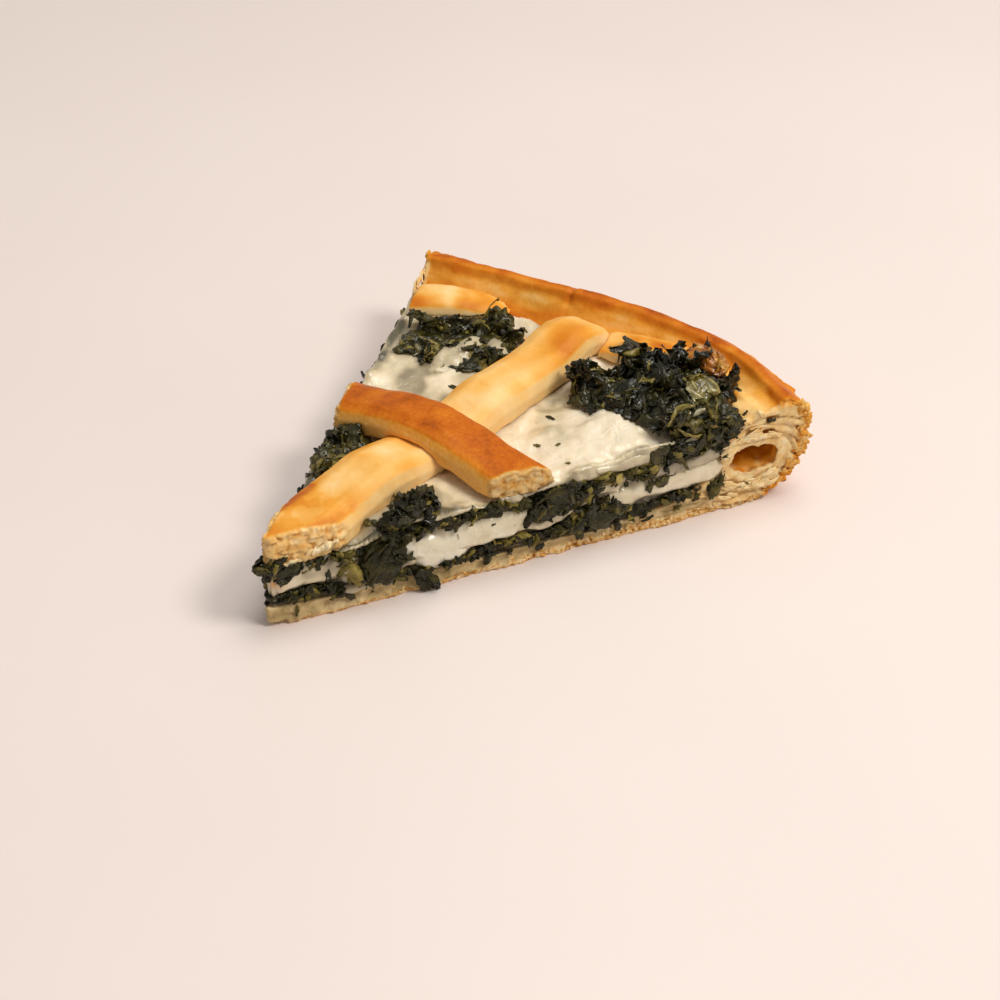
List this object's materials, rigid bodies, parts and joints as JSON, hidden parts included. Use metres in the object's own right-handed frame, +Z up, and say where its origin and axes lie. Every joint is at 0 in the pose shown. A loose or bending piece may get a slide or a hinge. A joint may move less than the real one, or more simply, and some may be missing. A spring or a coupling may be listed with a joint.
{
  "type": "spinach lattice pastry slice",
  "caption": "Cut slice of baked spinach and cheese pie: flat base, rolled browned crust at the rim, layered filling and crossed lattice strips on top.",
  "frame": {"origin": "middle of the bounding box's floor, on the underside of the base", "axes": "+X along the slice's middle line from tip to rim, +Z up out of the plate, +Y to the left seen from the tip"},
  "size_m": [0.1342, 0.1206, 0.036],
  "materials": {
    "crust": "dry baked dough, pale where cut and browned outside",
    "crust_browned": "dry deep golden-brown baked dough",
    "cheese": "soft melted, moist",
    "spinach": "cooked, wet",
    "onion": "cooked, moist, see-through at the edges"
  },
  "bodies": {
    "root": {"pastry_case": "crust", "spinach_lower": "spinach", "cheese_lower": "cheese", "spinach_upper": "spinach", "cheese_top": "cheese", "onion_browned": "onion", "strip_long": "crust", "strip_short": "crust_browned", "lattice_end_back": "crust", "lattice_end_front": "crust", "onion_piece": "onion", "spinach_mound": "spinach", "spinach_back": "spinach", "spinach_left": "spinach", "spinach_front": "spinach"}
  },
  "joints": []
}
